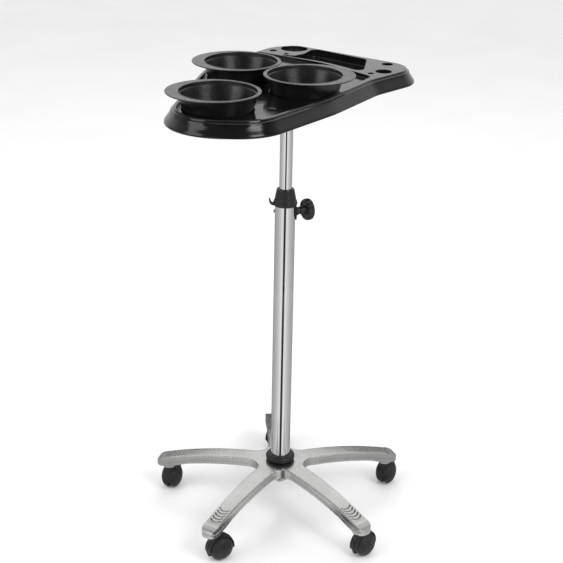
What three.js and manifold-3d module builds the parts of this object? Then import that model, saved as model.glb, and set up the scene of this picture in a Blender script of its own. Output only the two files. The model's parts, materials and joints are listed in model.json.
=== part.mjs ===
// Rolling salon trolley: a five-legged cast base on twin-wheel casters, a telescopic chrome column
// with a screw clamp, and a moulded tray that holds three lift-out tint bowls.
// Millimetres, +Z up. The origin is on the floor, under the axis of the column.

import * as THREE from 'three';
import { mergeVertices } from 'three/addons/utils/BufferGeometryUtils.js';
import Module from 'manifold-3d';

const wasm = await Module();
wasm.setup();

// ---------------------------------------------------------------- driving dimensions

const GAP = 0.3;                     // air left between pieces that touch
const RUNNING_GAP = 0.5;             // air left between pieces that turn or slide

const LEG_COUNT = 5;
const LEG_FIRST_ANGLE = 22.3;        // degrees from +X to the first leg
const LEG_REACH = 272;               // axis of the column to the end of a leg
const LEG_HALF_WIDTH_TIP = 16;
const LEG_UNDERSIDE = 62;            // underside and top of a leg at its end
const LEG_TOP = 84.5;
const ARCH_RISE = 28.7;              // how much higher a leg is at the hub than at its end
const ARCH_START = 50;               // the legs fall from here on, measured from the axis
const ARCH_LENGTH = 200;
const ARCH_POWER = 1.9;              // 1 is a straight fall; more keeps the leg high for longer
const LEG_THINNING = 0.86;           // thickness of a leg along the arch, as a part of its end's
const THINNING_END = 235;            // from here outwards a leg has its full thickness
const THINNING_FADE = 35;
const FACET_LENGTH = 22;             // longest side of a triangle on the arched legs
const LEG_TIP_ROUNDING = 13;         // corner radius of the end of a leg, seen from above
const LEG_TOE_LENGTH = 36;           // how much of the end of a leg curves down
const LEG_TOE_DROP = 15;
const VALLEY_REACH = 34;             // where the sides of two neighbouring legs would meet
const VALLEY_FILLET = 27;
const GROOVES_PER_LEG = 5;
const GROOVE_PITCH = 8;
const GROOVE_RADIUS = 14;
const GROOVE_WIDTH = 2.4;
const GROOVE_DEPTH = 1.2;
const GROOVE_FIRST_CENTRE = 198;     // centre of the arc of the first groove, along the leg
const HUB_BOTTOM = 68;
const SPIGOT_RADIUS = 17;
const SPIGOT_BOTTOM = 80;
const SPIGOT_INSERT = 46;            // how far the spigot goes up into the tube
const BOLT_RADIUS = 4;               // bolt under the hub
const BOLT_TOP = 104;

const STEM_REACH = 247;              // axis of the column to the stem of a caster
const STEM_RADIUS = 5;
const STEM_BOTTOM = 50.5;
const STEM_TOP = 78;
const SOCKET_RADIUS = 13.5;          // boss under the end of a leg
const SOCKET_BOTTOM = 58;
const WHEEL_RADIUS = 25;
const WHEEL_SIDES = 16;
const WHEEL_INNER_FACE = 2.8;        // half the space between two twin wheels
const WHEEL_OUTER_FACE = 21;
const WHEEL_TREAD_END = 9.5;
const FENDER_INNER_RADIUS = 26.2;
const FENDER_OUTER_RADIUS = 28.2;
const FENDER_HALF_WIDTH = 11;
const FIN_HALF_THICKNESS = 2.2;
const AXLE_RADIUS = 3;
const AXLE_HALF_LENGTH = 12;
const CASTER_TRAIL = 15;             // stem axis to wheel axis, seen from above
// Degrees from +X in which each caster trails, in the order of the legs.
const CASTER_HEADINGS = [66, 50, 72, 32, 45];

const TUBE_RADIUS = 20;
const TUBE_WALL = 2;
const TUBE_BOTTOM = 117;
const TUBE_TOP = 684;
const POST_RADIUS = 12.5;
const POST_WALL = 1.5;
const POST_BOTTOM = 400;
const POST_TOP = 886;
const RING_RADIUS = 30;
const RING_BOTTOM = 113.5;
const RING_TOP = 128.5;
const COLLAR_TOP = 714;
const COLLAR_BOTTOM = 680;
const SLEEVE_BOTTOM = 640;           // lower end of the part of the collar inside the tube

const CLAMP_ANGLE = 27;              // degrees from +X to the axis of the clamp screw
const CLAMP_HEIGHT = 664;
const STUD_RADIUS = 4;
const PAD_OUTER_END = 17;            // distances along the clamp screw, from the column's axis
const STUD_OUTER_END = 50;
const KNOB_HUB_START = 31;
const KNOB_START = 43;
const KNOB_END = 58;
const KNOB_RADIUS = 21.5;
const KNOB_LOBES = 12;
const KNOB_FLUTE_DEPTH = 1.1;
const BOSS_THICKNESS = 2.9;          // saddle that holds the thread of the clamp screw
const BOSS_BOTTOM = 650;
const BOSS_TOP = 676;
const BOSS_REACH = 30;               // degrees around the tube to each side of the screw
const NUT_RADIUS = 9;
const GUIDE_SCREW_HEIGHT = 667;
const GUIDE_SCREW_RADIUS = 1.5;

const BRACKET_ANGLE = 59;            // degrees from +X to the long side of the bracket plate
const BRACKET_LENGTH = 190;
const BRACKET_WIDTH = 58;
const BRACKET_THICKNESS = 3;
const SCREW_SPREAD_LONG = 85;        // bracket screws, from the column's axis
const SCREW_SPREAD_WIDE = 20;
const SCREW_RADIUS = 1.9;
const SCREW_TOP = 903;

const TRAY_TOP = 928;                // rim and tool shelf
const TRAY_DECK = 921;
const TRAY_WALL = 3;
const TRAY_SKIRT_BOTTOM = 900;
const TRAY_LIP = 5;                  // width of the rim around the deck
const TRAY_UNDERSIDE = 890;          // under the cups that hold the bowls
// Corners of the rim, counter-clockwise from the front right of the nose: [x, y, fillet radius].
const RIM_CORNERS = [
  [-46, -284, 80],
  [72, -126.5, 300],
  [157, 17.5, 120],
  [258, 128.5, 52],
  [-9, 318, 64],
  [-158, 90.5, 180],
  [-213, -284, 88],
];
// The edge of the tool shelf, from its right end to its left end.
const SHELF_RIGHT = [160, 45.5];
const SHELF_BOW = [70, 148.5];
const SHELF_LEFT = [-66, 237.5];
const TROUGH_CORNERS = [
  [146, 79.5, 12],
  [158, 185.5, 16],
  [52, 271.5, 14],
  [32, 223.5, 10],
  [12, 204.5, 8],
  [-34, 220.5, 3],
  [76, 153.5, 200],
];
const TROUGH_FLOOR = 912;
// Holes through the tool shelf: [x, y, radius].
const SHELF_HOLES = [
  [12, 269.5, 27.5],
  [-31, 248.5, 7.5],
  [-4, 221.5, 5],
  [197, 147.5, 11],
  [186, 86.5, 16],
  [160, 69.5, 6],
];
const HOLE_COLLAR_BOTTOM = 908;
const DECK_STUD = [-26, -181.5];
const DECK_STUD_RADIUS = 3;
const SCREW_BOSS_RADIUS = 6.5;
const SHELF_HOLE_WALL = 2.5;

const BOWLS = [
  { name: 'front', x: -122, y: -183.5, lobe: 180 },
  { name: 'left', x: -90, y: 45.5, lobe: 180 },
  { name: 'right', x: 31.5, y: -52, lobe: 0 },
];
const BOWL_SEAT = 893;               // floor of a cup
const BOWL_TOP = 954;
const BOWL_FOOT_RADIUS = 55;
const BOWL_SLOPE = 0.287;            // growth in radius per unit of height
const BOWL_MOUTH_RADIUS = 69.7;
const BOWL_FLANGE_RADIUS = 77;
const BOWL_LOBE = 17;                // how far the handle lobe stands past the flange
const BOWL_SIDES = 28;
const BOWL_WALL = 2.3;
const CUP_FOOT_RADIUS = 57;
const CUP_DECK_RADIUS = 65.5;

// ---------------------------------------------------------------- materials

function finish(color, roughness, metalness) {
  return new THREE.MeshStandardMaterial({ color, roughness, metalness });
}

const polishedAluminium = () => finish(0xd4d3d1, 0.18, 1);
const chrome = () => finish(0xe2e2e2, 0.07, 1);
const steel = () => finish(0xb9babc, 0.3, 1);
const glossyBlack = () => finish(0x0d0d0e, 0.16, 0);
const bowlBlack = () => finish(0x121213, 0.26, 0);
const satinBlack = () => finish(0x161617, 0.42, 0);
const wheelBlack = () => finish(0x19191a, 0.5, 0);
const nylon = () => finish(0x2a2a2b, 0.55, 0);
const brass = () => finish(0xb99a52, 0.35, 1);

// ---------------------------------------------------------------- solids

const radians = THREE.MathUtils.degToRad;

function solidOf(geometry) {
  const bare = geometry.clone();
  bare.deleteAttribute('normal');
  bare.deleteAttribute('uv');
  const merged = mergeVertices(bare, 1e-4);
  const index = merged.index.array;
  const kept = [];
  for (let i = 0; i < index.length; i += 3) {
    const [a, b, c] = [index[i], index[i + 1], index[i + 2]];
    if (a !== b && b !== c && c !== a) kept.push(a, b, c);
  }
  const mesh = new wasm.Mesh({
    numProp: 3,
    vertProperties: Float32Array.from(merged.attributes.position.array),
    triVerts: Uint32Array.from(kept),
  });
  return new wasm.Manifold(mesh);
}

function geometryOf(solid) {
  const mesh = solid.getMesh();
  const geometry = new THREE.BufferGeometry();
  geometry.setAttribute('position', new THREE.BufferAttribute(mesh.vertProperties, 3));
  geometry.setIndex(new THREE.BufferAttribute(mesh.triVerts, 1));
  geometry.computeVertexNormals();
  return geometry;
}

// A solid of revolution about Z, from [radius, height] points that start and end on the axis
// or close on themselves. Its profile runs counter-clockwise, with the radius to the right.
function turned(profile, sides) {
  const points = profile.map(([radius, height]) => new THREE.Vector2(radius, height));
  return solidOf(new THREE.LatheGeometry(points, sides).rotateX(Math.PI / 2));
}

function rod(radius, low, high, sides = 24) {
  return turned([[0, low], [radius, low], [radius, high], [0, high]], sides);
}

function pipe(inner, outer, low, high, sides = 32) {
  return turned([[inner, low], [outer, low], [outer, high], [inner, high], [inner, low]], sides);
}

// A flat shape, thickened from the height low to the height high.
function slab(shape, low, high, curveSegments = 6) {
  const options = { depth: high - low, bevelEnabled: false, curveSegments };
  return solidOf(new THREE.ExtrudeGeometry(shape, options).translate(0, 0, low));
}

// Points with outward normals along a closed outline, given as corners with fillet radii.
function filletedOutline(corners, stepDegrees = 15) {
  const points = [];
  corners.forEach(([x, y, radius], i) => {
    const corner = new THREE.Vector2(x, y);
    const [px, py] = corners.at(i - 1);
    const [nx, ny] = corners[(i + 1) % corners.length];
    const arriving = new THREE.Vector2(x - px, y - py).normalize();
    const leaving = new THREE.Vector2(nx - x, ny - y).normalize();
    const turn = Math.asin(THREE.MathUtils.clamp(arriving.cross(leaving), -1, 1));
    const sharp = arriving.dot(leaving) < 0;
    const angle = sharp ? Math.sign(turn) * Math.PI - turn : turn;
    const side = Math.sign(angle);
    const tangent = radius * Math.tan(Math.abs(angle) / 2);
    const start = corner.clone().addScaledVector(arriving, -tangent);
    const normal = new THREE.Vector2(arriving.y, -arriving.x);
    const centre = start.clone().addScaledVector(normal, -side * radius);
    const steps = Math.max(2, Math.ceil(Math.abs(THREE.MathUtils.radToDeg(angle)) / stepDegrees));
    for (let k = 0; k <= steps; k += 1) {
      const facing = normal.clone().rotateAround(new THREE.Vector2(), (angle * k) / steps);
      points.push({ at: centre.clone().addScaledVector(facing, side * radius), normal: facing });
    }
  });
  return points;
}

// A closed solid through copies of one outline: the profile is a list of [offset, height],
// from the bottom to the top, and each offset moves the outline outwards.
function lofted(outline, profile) {
  const count = outline.length;
  const positions = [];
  const indices = [];
  for (const [offset, height] of profile) {
    for (const { at, normal } of outline) {
      positions.push(at.x + normal.x * offset, at.y + normal.y * offset, height);
    }
  }
  for (let ring = 0; ring + 1 < profile.length; ring += 1) {
    for (let k = 0; k < count; k += 1) {
      const a = ring * count + k;
      const b = ring * count + ((k + 1) % count);
      indices.push(a, b, b + count, a, b + count, a + count);
    }
  }
  const cap = (ring, upwards) => {
    const first = ring * count;
    const contour = outline.map((_, k) => {
      const at = (first + k) * 3;
      return new THREE.Vector2(positions[at], positions[at + 1]);
    });
    for (const [a, b, c] of THREE.ShapeUtils.triangulateShape(contour, [])) {
      indices.push(first + a, first + (upwards ? b : c), first + (upwards ? c : b));
    }
  };
  cap(0, false);
  cap(profile.length - 1, true);
  const geometry = new THREE.BufferGeometry();
  geometry.setAttribute('position', new THREE.Float32BufferAttribute(positions, 3));
  geometry.setIndex(indices);
  return solidOf(geometry);
}

// The corners of an outline, with every side moved inwards by the same distance.
function insetCorners(corners, distance) {
  return corners.map(([x, y, radius], i) => {
    const [px, py] = corners.at(i - 1);
    const [nx, ny] = corners[(i + 1) % corners.length];
    const arriving = new THREE.Vector2(x - px, y - py).normalize();
    const leaving = new THREE.Vector2(nx - x, ny - y).normalize();
    const inwards = new THREE.Vector2(-arriving.y - leaving.y, arriving.x + leaving.x);
    inwards.multiplyScalar(distance / (1 + arriving.dot(leaving)));
    return [x + inwards.x, y + inwards.y, Math.max(radius - distance, 2)];
  });
}

function moved(solid, x, y, z = 0) {
  return solid.translate([x, y, z]);
}

// ---------------------------------------------------------------- scene graph

const trolley = new THREE.Group();

function place(name, solid, material, parent = trolley) {
  const mesh = new THREE.Mesh(geometryOf(solid), material);
  mesh.name = name;
  parent.add(mesh);
  return mesh;
}

// ---------------------------------------------------------------- base

function legAngle(leg) {
  return LEG_FIRST_ANGLE + (leg * 360) / LEG_COUNT;
}

function starCorners() {
  const corners = [];
  for (let leg = 0; leg < LEG_COUNT; leg += 1) {
    const along = new THREE.Vector2(1, 0).rotateAround(new THREE.Vector2(), radians(legAngle(leg)));
    const across = new THREE.Vector2(-along.y, along.x);
    for (const side of [-1, 1]) {
      const tip = along.clone().multiplyScalar(LEG_REACH);
      tip.addScaledVector(across, side * LEG_HALF_WIDTH_TIP);
      corners.push([tip.x, tip.y, LEG_TIP_ROUNDING]);
    }
    const valley = radians(legAngle(leg) + 180 / LEG_COUNT);
    corners.push([VALLEY_REACH * Math.cos(valley), VALLEY_REACH * Math.sin(valley), VALLEY_FILLET]);
  }
  return corners;
}

// A disc whose edge curves down: cut with it, the ends of the legs get their rounded toes.
function toeEnvelope() {
  const edge = LEG_REACH + 0.5;
  const toeStart = edge - LEG_TOE_LENGTH;
  const profile = [[0, LEG_UNDERSIDE - 1], [edge, LEG_UNDERSIDE - 1]];
  const steps = 4;
  for (let k = 0; k <= steps; k += 1) {
    const angle = (k / steps) * (Math.PI / 2);
    const radius = toeStart + LEG_TOE_LENGTH * Math.cos(angle);
    profile.push([radius, LEG_TOP - LEG_TOE_DROP * (1 - Math.sin(angle))]);
  }
  profile.push([toeStart, LEG_TOP + 1], [0, LEG_TOP + 1]);
  return turned(profile, 90);
}

function groove(centre) {
  const reach = radians(50);
  const shape = new THREE.Shape();
  shape.absarc(0, 0, GROOVE_RADIUS + GROOVE_WIDTH / 2, -reach, reach, false);
  shape.absarc(0, 0, GROOVE_RADIUS - GROOVE_WIDTH / 2, reach, -reach, true);
  const cutter = slab(shape, LEG_TOP - GROOVE_DEPTH, LEG_TOP + 2, 3);
  return moved(cutter, centre, 0);
}

// The height of a point of the flat star once the legs arch up to the hub.
function archedHeight(reach, height) {
  const along = THREE.MathUtils.clamp((reach - ARCH_START) / ARCH_LENGTH, 0, 1);
  const fade = THREE.MathUtils.smoothstep(reach, THINNING_END - THINNING_FADE, THINNING_END);
  const thickness = THREE.MathUtils.lerp(LEG_THINNING, 1, fade);
  return LEG_TOP + ARCH_RISE * (1 - along ** ARCH_POWER) - (LEG_TOP - height) * thickness;
}

const HUB_TOP = archedHeight(0, LEG_TOP);
const WEB_UNDERSIDE = archedHeight(0, LEG_UNDERSIDE);

// Five arched legs with rounded toes and crescent grooves, made flat and then bent.
function archedLegs() {
  const profile = [
    [-2, LEG_UNDERSIDE],
    [0, LEG_UNDERSIDE + 2],
    [0, LEG_TOP - 3],
    [-3.5, LEG_TOP],
  ];
  let legs = lofted(filletedOutline(starCorners(), 18), profile).intersect(toeEnvelope());
  for (let leg = 0; leg < LEG_COUNT; leg += 1) {
    for (let k = 0; k < GROOVES_PER_LEG; k += 1) {
      const cutter = groove(GROOVE_FIRST_CENTRE + k * GROOVE_PITCH);
      legs = legs.subtract(cutter.rotate([0, 0, legAngle(leg)]));
    }
  }
  return legs.refineToLength(FACET_LENGTH).warp((point) => {
    point[2] = archedHeight(Math.hypot(point[0], point[1]), point[2]);
  });
}

function starBase() {
  const hub = turned([
    [0, HUB_BOTTOM],
    [13, HUB_BOTTOM],
    [21, HUB_BOTTOM + 3],
    [26, HUB_BOTTOM + 13],
    [31, WEB_UNDERSIDE + 4],
    [0, WEB_UNDERSIDE + 4],
  ], 30);
  let star = archedLegs().add(hub);
  star = star.subtract(rod(SPIGOT_RADIUS + GAP, SPIGOT_BOTTOM, HUB_TOP + 5, 24));
  star = star.subtract(rod(BOLT_RADIUS + 2.5, HUB_BOTTOM - 5, SPIGOT_BOTTOM + 5, 16));
  for (let leg = 0; leg < LEG_COUNT; leg += 1) {
    const turn = [0, 0, legAngle(leg)];
    const socket = rod(SOCKET_RADIUS, SOCKET_BOTTOM, LEG_UNDERSIDE + 10, 18);
    star = star.add(moved(socket, STEM_REACH, 0).rotate(turn));
    const bore = rod(STEM_RADIUS + RUNNING_GAP, SOCKET_BOTTOM - 5, STEM_TOP + RUNNING_GAP, 12);
    star = star.subtract(moved(bore, STEM_REACH, 0).rotate(turn));
  }
  return star;
}

// The chrome stub that rises from the hub and carries the tube.
function columnSpigot() {
  const wide = TUBE_RADIUS - TUBE_WALL - GAP;
  return turned([
    [0, SPIGOT_BOTTOM + GAP],
    [SPIGOT_RADIUS, SPIGOT_BOTTOM + GAP],
    [SPIGOT_RADIUS, TUBE_BOTTOM],
    [wide, TUBE_BOTTOM + 1],
    [wide, TUBE_BOTTOM + SPIGOT_INSERT - 4],
    [wide - 3, TUBE_BOTTOM + SPIGOT_INSERT],
    [0, TUBE_BOTTOM + SPIGOT_INSERT],
  ], 24).subtract(rod(BOLT_RADIUS + GAP, SPIGOT_BOTTOM - 5, BOLT_TOP + 1, 16));
}

// The bolt that pulls the spigot into the hub, with its hexagonal head below.
function hubBolt() {
  const head = rod(10, HUB_BOTTOM - 6 - GAP, HUB_BOTTOM - GAP, 6);
  return head.add(rod(BOLT_RADIUS, HUB_BOTTOM - GAP - 1, BOLT_TOP, 16));
}

// The rounded black ring that closes the foot of the tube, with a ledge for the tube to stand on.
function baseRing() {
  const middle = (RING_BOTTOM + RING_TOP) / 2;
  const tubeSide = TUBE_RADIUS + GAP;
  return turned([
    [SPIGOT_RADIUS + GAP, RING_BOTTOM],
    [24, RING_BOTTOM],
    [28.5, RING_BOTTOM + 2.5],
    [RING_RADIUS, middle],
    [28.5, RING_TOP - 2.5],
    [24.5, RING_TOP],
    [tubeSide, RING_TOP],
    [tubeSide, TUBE_BOTTOM - GAP],
    [SPIGOT_RADIUS + GAP, TUBE_BOTTOM - GAP],
    [SPIGOT_RADIUS + GAP, RING_BOTTOM],
  ], 28);
}

place('star_base', starBase(), polishedAluminium());
place('hub_bolt', hubBolt(), steel());
place('column_spigot', columnSpigot(), chrome());
place('base_ring', baseRing(), satinBlack());

// ---------------------------------------------------------------- casters

// A caster stands at the origin of its own frame, under its stem, and trails towards +X.

function casterStem() {
  const collar = SOCKET_BOTTOM - GAP;
  return turned([
    [0, STEM_BOTTOM],
    [STEM_RADIUS, STEM_BOTTOM],
    [STEM_RADIUS, collar - 1.4],
    [8.5, collar - 1.4],
    [8.5, collar],
    [STEM_RADIUS, collar],
    [STEM_RADIUS, STEM_TOP - 3],
    [STEM_RADIUS - 1.5, STEM_TOP],
    [0, STEM_TOP],
  ], 12);
}

// Turns a solid made in the XY plane, with its thickness along Z, into the plane of the wheels.
function intoWheelPlane(solid) {
  return moved(solid.rotate([90, 0, 0]), CASTER_TRAIL, 0, WHEEL_RADIUS);
}

function band(inner, outer, fromDegrees, toDegrees, halfWidth) {
  const shape = new THREE.Shape();
  shape.absarc(0, 0, outer, radians(fromDegrees), radians(toDegrees), false);
  if (inner > 0) shape.absarc(0, 0, inner, radians(toDegrees), radians(fromDegrees), true);
  return slab(shape, -halfWidth, halfWidth, 10);
}

function casterHood() {
  const fender = band(FENDER_INNER_RADIUS, FENDER_OUTER_RADIUS, -8, 188, FENDER_HALF_WIDTH);
  const fin = band(0, FENDER_INNER_RADIUS + 1, -28, 208, FIN_HALF_THICKNESS);
  const axleHole = rod(AXLE_RADIUS + GAP, -9, 9, 12);
  const neckTop = SOCKET_BOTTOM - 1.4 - 2 * GAP;
  const neck = turned([[0, 36], [9.5, 36], [9.5, neckTop - 2], [8, neckTop], [0, neckTop]], 12);
  const wheelSpace = rod(FENDER_INNER_RADIUS, FIN_HALF_THICKNESS, FENDER_HALF_WIDTH + 12, 14);
  const spaces = wheelSpace.add(wheelSpace.rotate([180, 0, 0]));
  return intoWheelPlane(fender.add(fin).subtract(axleHole))
    .add(neck.subtract(intoWheelPlane(spaces)))
    .subtract(rod(STEM_RADIUS + GAP, STEM_BOTTOM - GAP, SOCKET_BOTTOM, 12));
}

function casterAxle() {
  return intoWheelPlane(rod(AXLE_RADIUS, -AXLE_HALF_LENGTH, AXLE_HALF_LENGTH, 12));
}

// One wheel of the twin, domed on its outer side; side is 1 or -1. A flat of its rim faces down.
function casterWheel(side) {
  const bore = AXLE_RADIUS + RUNNING_GAP;
  const corner = WHEEL_RADIUS / Math.cos(Math.PI / WHEEL_SIDES);
  const wheel = turned([
    [0, AXLE_HALF_LENGTH + RUNNING_GAP],
    [bore, AXLE_HALF_LENGTH + RUNNING_GAP],
    [bore, WHEEL_INNER_FACE],
    [corner, WHEEL_INNER_FACE],
    [corner, WHEEL_TREAD_END],
    [corner - 2.6, WHEEL_TREAD_END + 2],
    [18, WHEEL_TREAD_END + 7.6],
    [9, WHEEL_OUTER_FACE - 0.9],
    [0, WHEEL_OUTER_FACE],
  ], WHEEL_SIDES);
  const flatDown = wheel.rotate([0, 0, 180 / WHEEL_SIDES]);
  return intoWheelPlane(side > 0 ? flatDown : flatDown.rotate([180, 0, 0]));
}

for (let leg = 0; leg < LEG_COUNT; leg += 1) {
  const caster = new THREE.Group();
  const angle = radians(legAngle(leg));
  caster.position.set(STEM_REACH * Math.cos(angle), STEM_REACH * Math.sin(angle), 0);
  caster.rotation.z = radians(CASTER_HEADINGS[leg]);
  trolley.add(caster);
  const name = `caster_${leg + 1}`;
  place(`${name}_stem`, casterStem(), steel(), caster);
  place(`${name}_hood`, casterHood(), satinBlack(), caster);
  place(`${name}_axle`, casterAxle(), steel(), caster);
  place(`${name}_wheel_left`, casterWheel(-1), wheelBlack(), caster);
  place(`${name}_wheel_right`, casterWheel(1), wheelBlack(), caster);
}

// ---------------------------------------------------------------- column

// Lays a solid made along Z onto the axis of the clamp screw: its height becomes the distance
// from the axis of the column.
function alongClamp(solid) {
  return solid.rotate([0, 90, 0]).rotate([0, 0, CLAMP_ANGLE]).translate([0, 0, CLAMP_HEIGHT]);
}

// A rod on the axis of the guide screw, which stands out to the left of the column.
function guideScrewRod(radius, from, to, sides = 16) {
  return rod(radius, from, to, sides).rotate([0, -90, 0]).translate([0, 0, GUIDE_SCREW_HEIGHT]);
}

function outerTube() {
  return pipe(TUBE_RADIUS - TUBE_WALL, TUBE_RADIUS, TUBE_BOTTOM, TUBE_TOP, 32)
    .subtract(alongClamp(rod(STUD_RADIUS + RUNNING_GAP, 5, TUBE_RADIUS + 5, 16)))
    .subtract(guideScrewRod(GUIDE_SCREW_RADIUS + GAP, 5, TUBE_RADIUS + 5, 12));
}

// The tapered cap of the tube. Its sleeve guides the post, and a small hook stands out on the left.
function topCollar() {
  const guide = POST_RADIUS + RUNNING_GAP;
  const inside = TUBE_RADIUS - TUBE_WALL - GAP;
  const body = turned([
    [guide, SLEEVE_BOTTOM],
    [inside, SLEEVE_BOTTOM],
    [inside, TUBE_TOP + GAP],
    [TUBE_RADIUS + GAP, TUBE_TOP + GAP],
    [TUBE_RADIUS + GAP, COLLAR_BOTTOM],
    [22.6, COLLAR_BOTTOM],
    [23.6, COLLAR_BOTTOM + 2],
    [23.6, COLLAR_BOTTOM + 8],
    [21.6, COLLAR_BOTTOM + 11],
    [18, COLLAR_TOP - 2.5],
    [16.5, COLLAR_TOP],
    [guide, COLLAR_TOP],
    [guide, SLEEVE_BOTTOM],
  ], 28);
  const strip = new THREE.Shape();
  strip.moveTo(-22, COLLAR_BOTTOM + 3.5);
  strip.quadraticCurveTo(-28.5, COLLAR_BOTTOM + 3, -30, COLLAR_BOTTOM + 13);
  strip.lineTo(-32.2, COLLAR_BOTTOM + 12.4);
  strip.quadraticCurveTo(-31, COLLAR_BOTTOM + 0.6, -22, COLLAR_BOTTOM + 0.4);
  strip.closePath();
  const hook = slab(strip, -6, 6, 5).rotate([90, 0, 0]);
  return body.add(hook)
    .subtract(alongClamp(rod(STUD_RADIUS + RUNNING_GAP, 5, TUBE_RADIUS, 16)))
    .subtract(guideScrewRod(GUIDE_SCREW_RADIUS + GAP, 5, TUBE_RADIUS, 12));
}

function guideScrew() {
  return guideScrewRod(GUIDE_SCREW_RADIUS, POST_RADIUS + RUNNING_GAP + 1, TUBE_RADIUS + 2, 12)
    .add(guideScrewRod(3.6, TUBE_RADIUS + GAP, TUBE_RADIUS + 3.2));
}

// The black saddle on the side of the tube that holds the thread of the clamp screw.
function clampBoss() {
  const inside = TUBE_RADIUS + GAP;
  const saddle = pipe(inside, inside + BOSS_THICKNESS, BOSS_BOTTOM, BOSS_TOP, 32);
  const [from, to] = [radians(CLAMP_ANGLE - BOSS_REACH), radians(CLAMP_ANGLE + BOSS_REACH)];
  const wedge = new THREE.Shape();
  wedge.moveTo(0, 0);
  wedge.absarc(0, 0, 2 * TUBE_RADIUS, from, to, false);
  wedge.closePath();
  const nut = alongClamp(rod(NUT_RADIUS, TUBE_RADIUS - 2, TUBE_RADIUS + 7, 20));
  return saddle.intersect(slab(wedge, BOSS_BOTTOM - 1, BOSS_TOP + 1))
    .add(nut.subtract(rod(inside, BOSS_BOTTOM, BOSS_TOP, 32)))
    .subtract(alongClamp(rod(STUD_RADIUS + RUNNING_GAP, 10, 40, 16)));
}

// The small brass pad that the clamp screw pushes against the post.
function clampPad() {
  return alongClamp(rod(STUD_RADIUS - 0.4, POST_RADIUS + GAP, PAD_OUTER_END, 16));
}

function clampStud() {
  return alongClamp(rod(STUD_RADIUS, PAD_OUTER_END + GAP, STUD_OUTER_END, 16));
}

// A knob with rounded lobes around its rim and a short neck towards the tube.
function clampKnob() {
  const shape = new THREE.Shape();
  const steps = KNOB_LOBES * 3;
  for (let k = 0; k < steps; k += 1) {
    const angle = (k / steps) * 2 * Math.PI;
    const radius = KNOB_RADIUS - KNOB_FLUTE_DEPTH * (1 - Math.cos(KNOB_LOBES * angle));
    const point = [radius * Math.cos(angle), radius * Math.sin(angle)];
    if (k === 0) shape.moveTo(...point);
    else shape.lineTo(...point);
  }
  shape.closePath();
  const dome = turned([
    [0, KNOB_START - 2],
    [9, KNOB_START - 2],
    [17, KNOB_START + 1],
    [22.5, KNOB_START + 5],
    [22.5, KNOB_END - 5],
    [17, KNOB_END - 1.2],
    [0, KNOB_END],
  ], 24);
  const neck = turned([
    [0, KNOB_HUB_START],
    [7.5, KNOB_HUB_START],
    [9.5, KNOB_START],
    [0, KNOB_START],
  ], 20);
  const head = slab(shape, KNOB_START - 2, KNOB_END).intersect(dome).add(neck);
  return alongClamp(head.subtract(rod(STUD_RADIUS + GAP, 20, STUD_OUTER_END + GAP, 16)));
}

place('outer_tube', outerTube(), chrome());
place('top_collar', topCollar(), satinBlack());
place('guide_screw', guideScrew(), steel());
place('clamp_boss', clampBoss(), satinBlack());
place('clamp_pad', clampPad(), brass());
place('clamp_stud', clampStud(), steel());
place('clamp_knob', clampKnob(), satinBlack());

// ---------------------------------------------------------------- post

function innerTube() {
  return pipe(POST_RADIUS - POST_WALL, POST_RADIUS, POST_BOTTOM, POST_TOP, 28);
}

// The plastic bush at the lower end of the post, which runs inside the tube.
function postBush() {
  const bore = POST_RADIUS + GAP;
  const wide = TUBE_RADIUS - TUBE_WALL - RUNNING_GAP;
  return turned([
    [0, POST_BOTTOM - 4],
    [wide - 1.5, POST_BOTTOM - 4],
    [wide, POST_BOTTOM - 2.5],
    [wide, POST_BOTTOM + 26],
    [bore, POST_BOTTOM + 26],
    [bore, POST_BOTTOM - GAP],
    [0, POST_BOTTOM - GAP],
  ], 24);
}

place('inner_tube', innerTube(), chrome());
place('post_bush', postBush(), nylon());

// ---------------------------------------------------------------- tray bracket

const PLATE_TOP = TRAY_UNDERSIDE - GAP;
const PLATE_BOTTOM = PLATE_TOP - BRACKET_THICKNESS;

function screwPlaces() {
  const places = [];
  for (const long of [-1, 1]) {
    for (const wide of [-1, 1]) {
      const place = new THREE.Vector2(long * SCREW_SPREAD_LONG, wide * SCREW_SPREAD_WIDE);
      places.push(place.rotateAround(new THREE.Vector2(), radians(BRACKET_ANGLE)));
    }
  }
  return places;
}

function bracketPlate() {
  const [long, wide, round] = [BRACKET_LENGTH / 2, BRACKET_WIDTH / 2, 10];
  const corners = [[long, -wide, round], [long, wide, round], [-long, wide, round],
    [-long, -wide, round]];
  const outline = filletedOutline(corners, 22.5);
  let plate = lofted(outline, [[0, PLATE_BOTTOM], [0, PLATE_TOP]]).rotate([0, 0, BRACKET_ANGLE]);
  const hole = rod(SCREW_RADIUS + GAP, PLATE_BOTTOM - 2, PLATE_TOP + 2, 12);
  for (const at of screwPlaces()) plate = plate.subtract(moved(hole, at.x, at.y));
  return plate;
}

// The socket that closes on the top of the post, with a flared foot under the plate.
function bracketSocket() {
  const bore = POST_RADIUS + GAP;
  const top = PLATE_BOTTOM - GAP;
  return turned([
    [bore, top - 28],
    [15.5, top - 28],
    [16.5, top - 26],
    [17, top - 8],
    [27, top - 3],
    [27, top],
    [bore, top],
    [bore, top - 28],
  ], 24);
}

function bracketScrew() {
  return turned([
    [0, PLATE_BOTTOM - GAP - 2.6],
    [3, PLATE_BOTTOM - GAP - 2.6],
    [4.4, PLATE_BOTTOM - GAP - 1.2],
    [4.4, PLATE_BOTTOM - GAP],
    [SCREW_RADIUS, PLATE_BOTTOM - GAP],
    [SCREW_RADIUS, SCREW_TOP],
    [0, SCREW_TOP + 1.5],
  ], 12);
}

place('bracket_socket', bracketSocket(), satinBlack());
place('bracket_plate', bracketPlate(), steel());
screwPlaces().forEach((at, i) => {
  place(`bracket_screw_${i + 1}`, bracketScrew(), steel()).position.set(at.x, at.y, 0);
});

// ---------------------------------------------------------------- tray

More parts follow.
